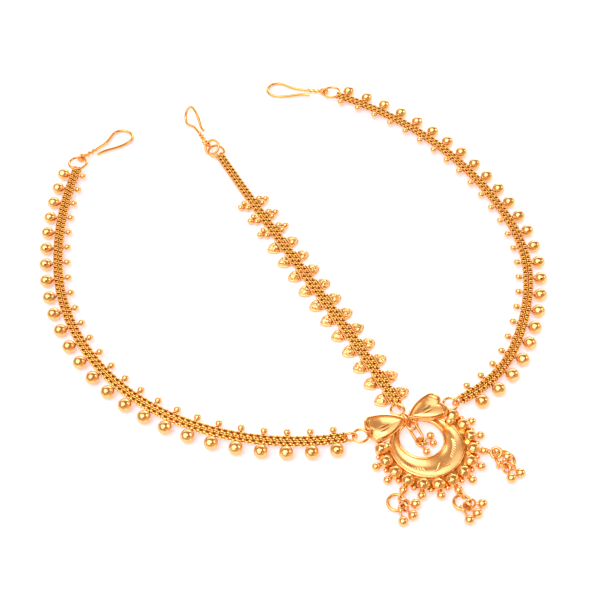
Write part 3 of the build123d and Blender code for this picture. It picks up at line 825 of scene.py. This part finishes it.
strip = sheet(BACKING_STEPS, strip_sides, strip_point)
close_ends(strip)
stamp(shape, strip, [Matrix.Identity(4)])
small_grain = ball(SMALL_GRAIN_R, round_steps=12, up_steps=8)
strip_top = PLATE_FLOOR + BACKING_THICK
between = [turn + BEAD_STEP / 2 for turn in turns[:-1]]
stamp(shape, small_grain, [polar(SMALL_GRAIN_RING_R, turn, strip_top) for turn in between])

outer_end = ball_points(0, OUTER_BALL_R, OUTER_BALL_START, 180, count=12)
outer_ball = lathe([*OUTER_NECK, *outer_end], steps=24)
stamp(shape, outer_ball, [polar(OUTER_RING_R, turn, OUTER_Z) for turn in turns[1:-1]])
eye = hoop(EYE_R, EYE_WIRE, EYE_STEPS, EYE_SIDES)
eye_places = [polar(EYE_RING_R, BEAD_STEP * slot - 90, OUTER_Z) for slot in TASSEL_SLOTS]
stamp(shape, eye, [place @ Matrix.Rotation(radians(90), 4, "X") for place in eye_places])
corner_ball = ball(CORNER_BALL_R, round_steps=24, up_steps=16)
stamp(shape, corner_ball, [PENDANT @ placed(x, y, CORNER_BALL_Z) for x, y in CORNERS])
finish_piece("pendant_balls", shape, "bead_gold", ["pendant"], polished_gold)

# ---- bow ----
# Two heart-shaped leaves, pressed from sheet as dishes with a double raised rim, meet under the
# knot. Each has two bright streaks cut in its dish and a wire ring soldered at its notch for a side
# chain. A third ring behind holds the centre chain, and one in front the middle drop.
LEAF_Z = 2.95
LEAF_Y = 9.55
LEAF_START = 0.3
LEAF_MIDDLE = 6.4
LEAF_SIDE = (3.3, 2.45)
LEAF_SHOULDER = (8.6, 4.2)
LEAF_LOBE = (11.35, 2.9)
LEAF_NOTCH = (10.5, 0)
LEAF_RIM = (
    (0.97, 0), (1.0, 0.15), (1.0, 0.8), (0.99, 1.05), (0.965, 1.22), (0.935, 1.25),
    (0.905, 1.15), (0.89, 0.92), (0.875, 0.92), (0.865, 1.0), (0.845, 1.12), (0.815, 1.12),
    (0.795, 1.0), (0.78, 0.75),
)
BOWL_START = 0.9
BOWL_HALF_LENGTH = 4.9
BOWL_HALF_WIDTH = 3.5
BOWL_ROUNDING = 3
LEAF_DISH_SIZE = 0.78
LEAF_DISH_TOP = 0.75
LEAF_DISH_FLOOR = 0.1
LEAF_DISH_CURVE = 2.4
LEAF_DISH_STEPS = 12
FACING_UP = 0.3
KNOT_X = -0.75
STREAK_SIZE = (4.6, 0.8, 0.15)
STREAK_PLACES = ((6.4, -0.35, 0.18, 4), (7.0, 0.85, 0.24, 10))
LEAF_HEADINGS = (174, -1.5)
RING_HEADINGS = (174, -6)
SOLDERED_R = 2.05
SOLDERED_WIRE = 0.42
SOLDERED_OUT = 13.5
SOLDERED_LUG = 1.8
SOLDERED_LUG_INSIDE = 0.7
SOLDERED_Z = 2.9
TOP_RING = (-1.0, 13.6, 2.6)
TOP_RING_R = 1.85
TOP_LUG = 1.7
TOP_LUG_INSIDE = 0.1
FRONT_RING = (0, 7.6, 2.2)
FRONT_RING_R = 1.4
FRONT_RING_WIRE = 0.4


def round_bowl(here, size):
    """Turns the outer end of a leaf's dish into an ellipse, more so toward the leaf's middle."""
    if size >= BOWL_START:
        return here
    way = here.normalized()
    ellipse = size * way / Vector((way.x / BOWL_HALF_LENGTH, way.y / BOWL_HALF_WIDTH)).length
    share = min(1, BOWL_ROUNDING * (1 - size / BOWL_START)) * max(0, way.x) ** 0.5
    return here.lerp(ellipse, share)


section = list(LEAF_RIM)
for step in range(1, LEAF_DISH_STEPS + 1):
    inward = 1 - step / LEAF_DISH_STEPS
    rise = (LEAF_DISH_TOP - LEAF_DISH_FLOOR) * inward**LEAF_DISH_CURVE
    section.append((LEAF_DISH_SIZE * inward, LEAF_DISH_FLOOR + rise))
leaf_half = ((0, 0), LEAF_SIDE, LEAF_SHOULDER, LEAF_LOBE, LEAF_NOTCH)
outline = heart_outline(leaf_half, steps=22, end_steps=18)

shape = bmesh.new()
leaf = pressed(outline, LEAF_MIDDLE, section, round_bowl)
for face in leaf.faces:
    if face.normal.z > FACING_UP and face.calc_center_median().z < LEAF_DISH_TOP:
        face.material_index = SATIN_MATERIAL
streak = cut(*STREAK_SIZE)
for heading, ring_heading in zip(LEAF_HEADINGS, RING_HEADINGS):
    start = -LEAF_START if heading > 90 else LEAF_START
    base = PENDANT @ placed(KNOT_X + start, LEAF_Y, LEAF_Z, heading)
    stamp(shape, leaf, [base])
    stamp(shape, streak, [base @ placed(*place) for place in STREAK_PLACES])
    lug = PENDANT @ placed(KNOT_X + start, LEAF_Y, SOLDERED_Z, ring_heading)
    ring = hoop(SOLDERED_R, SOLDERED_WIRE, steps=48, sides=RIM_SIDES)
    stamp(shape, ring, [lug @ placed(SOLDERED_OUT, 0, 0)])
    inside = LEAF_NOTCH[0] - SOLDERED_LUG_INSIDE
    stamp(shape, rod(SOLDERED_WIRE, 0, SOLDERED_LUG), [lug @ placed(inside, 0, 0)])
top_ring = hoop(TOP_RING_R, SOLDERED_WIRE, steps=44, sides=RIM_SIDES)
stamp(shape, top_ring, [PENDANT @ placed(*TOP_RING)])
back = PENDANT @ placed(TOP_RING[0], TOP_RING[1] - TOP_RING_R + TOP_LUG_INSIDE, TOP_RING[2], -90)
stamp(shape, rod(SOLDERED_WIRE, 0, TOP_LUG), [back])
front_ring = hoop(FRONT_RING_R, FRONT_RING_WIRE, steps=40, sides=RIM_SIDES)
stamp(shape, front_ring, [PENDANT @ placed(*FRONT_RING)])
finish_piece("pendant_bow", shape, "pendant_gold", ["pendant"], polished_gold, satin_gold)

# ---- knot ----
# A short strip of the same gold-plated brass is wrapped over the points of the two leaves and
# soldered down to the crescent, so it holds the bow.
KNOT_Y = 9.85
KNOT_TURN = 6
KNOT_HALF_WIDTH = 0.75
KNOT_LENGTH = 1.9
KNOT_TOP = 4.6
KNOT_EDGE = 0.5

shape = bmesh.new()
height = KNOT_TOP - PLATE_FLOOR
core = bmesh.ops.create_cube(shape, size=1)["verts"]
bmesh.ops.scale(shape, verts=core, vec=(2 * KNOT_HALF_WIDTH, KNOT_LENGTH, height))
soften(shape, KNOT_EDGE, segments=5)
bmesh.ops.transform(
    shape, verts=shape.verts,
    matrix=PENDANT @ placed(KNOT_X, KNOT_Y, PLATE_FLOOR + height / 2, KNOT_TURN),
)
finish_piece("pendant_knot", shape, "pendant_gold", ["pendant"], polished_gold)

# ---- links and jump rings ----
# Rings bent from round gold-plated wire join the parts: a small link on edge at each chain's start,
# a jump ring lying at its far end, one more ring for the middle hook, and a ring for each tassel.
END_WALL = 1.1
LINK_R = 1.7
LINK_WIRE = 0.38
RING_WIRE = 0.45
DROP_RING_WIRE = 0.34
SIDE_RING_R = 3.0
CENTRE_RING_R = 2.6
RING_STEPS = 44
RING_SIDES = 12


def link_place(route, turn, fall, lean):
    """A link standing on edge, one wall inside the start of the strap, rising away from it."""
    start = on_route(route, END_WALL, turn) @ placed(0, 0, 0, pitch=-fall)
    return start @ placed(-LINK_R, 0, 0, roll=lean)


def jump_place(route, radius, turn, fall):
    """A jump ring, one wall inside the far end of the strap, turned from it and falling away."""
    far = sum(length for length, bend in route.arcs) - END_WALL
    return on_route(route, far, turn) @ placed(0, 0, 0, pitch=-fall) @ placed(radius, 0, 0)


for name, place, radius, wire in (
    ("link_left", link_place(LEFT, -9.6, 11.5, 90), LINK_R, LINK_WIRE),
    ("link_right", link_place(RIGHT, 4.8, 11.5, 90), LINK_R, LINK_WIRE),
    ("link_centre", link_place(CENTRE, -16, 28, 60), LINK_R, LINK_WIRE),
    ("jump_ring_left", jump_place(LEFT, SIDE_RING_R, 14, 3), SIDE_RING_R, RING_WIRE),
    ("jump_ring_right", jump_place(RIGHT, SIDE_RING_R, -15, 3), SIDE_RING_R, RING_WIRE),
    ("jump_ring_centre", jump_place(CENTRE, CENTRE_RING_R, 6.5, -6), CENTRE_RING_R, RING_WIRE),
    ("jump_ring_hook", placed(-27.07, 54.69, 2.05, 137, 5.7, -39), 2.5, RING_WIRE),
    ("ring_tassel_left", placed(28.47, -84.89, 1.45, -118, -6, 0), 2.3, RING_WIRE),
    ("ring_tassel_centre", placed(45.66, -84.88, 1.57, 7, 3.3, 0), 2.15, RING_WIRE),
    ("ring_tassel_right_small", placed(56.36, -69.61, 1.71, -13, 10.6, 32.8), 1.35, RING_WIRE),
    ("ring_tassel_right", placed(58.54, -71.55, 1.48, -50, -3.8, -11.4), 2.65, RING_WIRE),
    ("ring_drop", PENDANT @ placed(-0.48, 2.28, 1.2, 115, 1.6), 1.2, DROP_RING_WIRE),
):
    shape = bmesh.new()
    stamp(shape, hoop(radius, wire, RING_STEPS, RING_SIDES), [place])
    finish_piece(name + "_wire", shape, "wire_gold", [name], wire_gold)

# ---- hooks ----
# Each hook is bent from one gold-plated wire: an eye on the jump ring, a shank with the wire's own
# tail wound round it, and a long loop whose blunt tip comes back beside the shank.
HOOK_WIRE = 0.5
HOOK_EYE_R = 1.15
HOOK_START = 3
HOOK_ARCS = ((8.7, 5), (3.2, 20), (2.9, -1), (12.6, -198), (5.9, -26), (2.8, 1), (4.1, 26))
HOOK_STEP = 0.35
TAIL_WIRE = 0.32
TAIL_OFF = 0.5
TAIL_START = 0.3
TAIL_LENGTH = 4.6
TAIL_TURNS = 2.5
TAIL_STEPS = 40


def tube(points, radius, sides):
    """A round wire through points, with flat ends."""
    points = [Vector(point) for point in points]
    last = len(points) - 1

    def place(u, v):
        index = round(u * last)
        along = (points[min(index + 1, last)] - points[max(index - 1, 0)]).normalized()
        across = along.cross(Vector((0, 0, 1))).normalized()
        turn = tau * v
        return points[index] + radius * (across * cos(turn) + across.cross(along) * sin(turn))

    shape = sheet(last, sides, place)
    close_ends(shape)
    return shape


def arc_path(x, y, heading, arcs, step):
    """Points along tangent arcs of (length, turn in degrees), about one step apart."""
    heading = radians(heading)
    points = [(x, y, 0)]
    for length, turn in arcs:
        count = max(1, round(length / step))
        for part in range(count):
            heading += radians(turn) / count / 2
            x += length / count * cos(heading)
            y += length / count * sin(heading)
            heading += radians(turn) / count / 2
            points.append((x, y, 0))
    return points


for name, side, size, place in (
    ("hook_left", 1, 1, placed(-71.32, 49.59, 1.65, 44, -3)),
    ("hook_right", -1, 1, placed(11.93, 85.49, 1.65, 172, -3)),
    ("hook_centre", 1, 0.86, placed(-29.07, 56.34, 2.35, 115.6, 3.5, -63)),
):
    shape = bmesh.new()
    arcs = [(size * length, side * turn) for length, turn in HOOK_ARCS]
    path = arc_path(HOOK_EYE_R, 0, side * HOOK_START, arcs, HOOK_STEP)
    stamp(shape, tube(path, HOOK_WIRE, sides=14), [place])
    eye = hoop(HOOK_EYE_R, HOOK_WIRE, steps=32, sides=RING_SIDES)
    stamp(shape, eye, [place @ placed(0, 0, 0, roll=90)])
    coil = []
    for step in range(TAIL_STEPS + 1):
        turn = tau * TAIL_TURNS * step / TAIL_STEPS
        along = HOOK_EYE_R + TAIL_START + size * TAIL_LENGTH * step / TAIL_STEPS
        coil.append((along, TAIL_OFF * cos(turn), TAIL_OFF * sin(turn)))
    stamp(shape, tube(coil, TAIL_WIRE, sides=10), [place @ placed(0, 0, 0, side * HOOK_START)])
    finish_piece(name + "_wire", shape, "wire_gold", [name], wire_gold)

# ---- drops ----
# A drop is a hollow gold-plated ball soldered to a wire eye; three hang on each tassel ring. The
# middle drop hangs from the front ring by a long wire link and a small ring, and its three drops
# are smaller.
NECK_INSIDE = 0.5
NECK_FLARE = 1.05
NECK_FOOT = 1.5
NECK_END = 0.86
BALL_OPENING = 34
LONG_LINK_HALF = 1.55
LONG_LINK_R = 1.3
LONG_LINK_WIRE = 0.42
LONG_LINK_STEP = 0.3


def drop_shape(eye_radius, wire, ball_radius, length):
    """A ball on an eye: the eye lies about the origin and the ball is out along +X."""
    shape = hoop(eye_radius, wire, EYE_STEPS, EYE_SIDES)
    start = eye_radius - wire * NECK_INSIDE
    foot = length - ball_radius * NECK_END
    neck = [
        (start, 0), (start, wire),
        (eye_radius + wire, wire * NECK_FLARE), (foot, wire * NECK_FOOT),
    ]
    turned = lathe(neck + ball_points(length, ball_radius, BALL_OPENING, 180, count=13), steps=24)
    stamp(shape, turned, [Matrix.Identity(4)])
    return shape


tassel_drop = drop_shape(eye_radius=1.2, wire=0.35, ball_radius=1.38, length=3.1)
small_drop = drop_shape(eye_radius=0.8, wire=0.27, ball_radius=1.1, length=2.25)
for name, unit, place in (
    ("drop_left_a", tassel_drop, placed(30.44, -84.9, 1.64, -8, -4.4, 82)),
    ("drop_left_b", tassel_drop, placed(30.53, -86.33, 1.59, -48, -3.6, 78)),
    ("drop_left_c", tassel_drop, placed(29.28, -87.44, 1.58, -78, -3.3, -85)),
    ("drop_centre_a", tassel_drop, placed(47.9, -85.21, 1.55, 0, -2.8, 57)),
    ("drop_centre_b", tassel_drop, placed(46.97, -86.16, 1.6, -38, -3.7, 83)),
    ("drop_centre_c", tassel_drop, placed(45.72, -87.26, 1.55, -63, -2.7, -72)),
    ("drop_right_a", tassel_drop, placed(58.61, -74.48, 1.59, -72, -3.6, 56)),
    ("drop_right_b", tassel_drop, placed(59.9, -73.77, 1.54, -42, -2.6, 79)),
    ("drop_right_c", tassel_drop, placed(56.95, -73.21, 1.62, 44, 5.2, 88)),
    ("drop_small_a", small_drop, PENDANT @ placed(0.86, 2.16, 1.25, 16, -3.1, -76)),
    ("drop_small_b", small_drop, PENDANT @ placed(0.34, 1.36, 1.06, -25, 1.7, -82)),
    ("drop_small_c", small_drop, PENDANT @ placed(-0.84, 1.21, 1.26, -87, -3.3, 87)),
):
    shape = bmesh.new()
    stamp(shape, unit, [place])
    finish_piece(name + "_turned", shape, "drop_gold", [name], polished_gold)

half_turn = (pi * LONG_LINK_R, 180)
straight = (2 * LONG_LINK_HALF, 0)
sides = (straight, half_turn, straight, half_turn)
loop = arc_path(-LONG_LINK_HALF, -LONG_LINK_R, 0, sides, LONG_LINK_STEP)
shape = bmesh.new()
long_link = tube(loop, LONG_LINK_WIRE, RING_SIDES)
stamp(shape, long_link, [PENDANT @ placed(-0.18, 5.26, 1.75, -93, -6.1, 56.3)])
finish_piece("link_drop_wire", shape, "wire_gold", ["link_drop"], wire_gold)
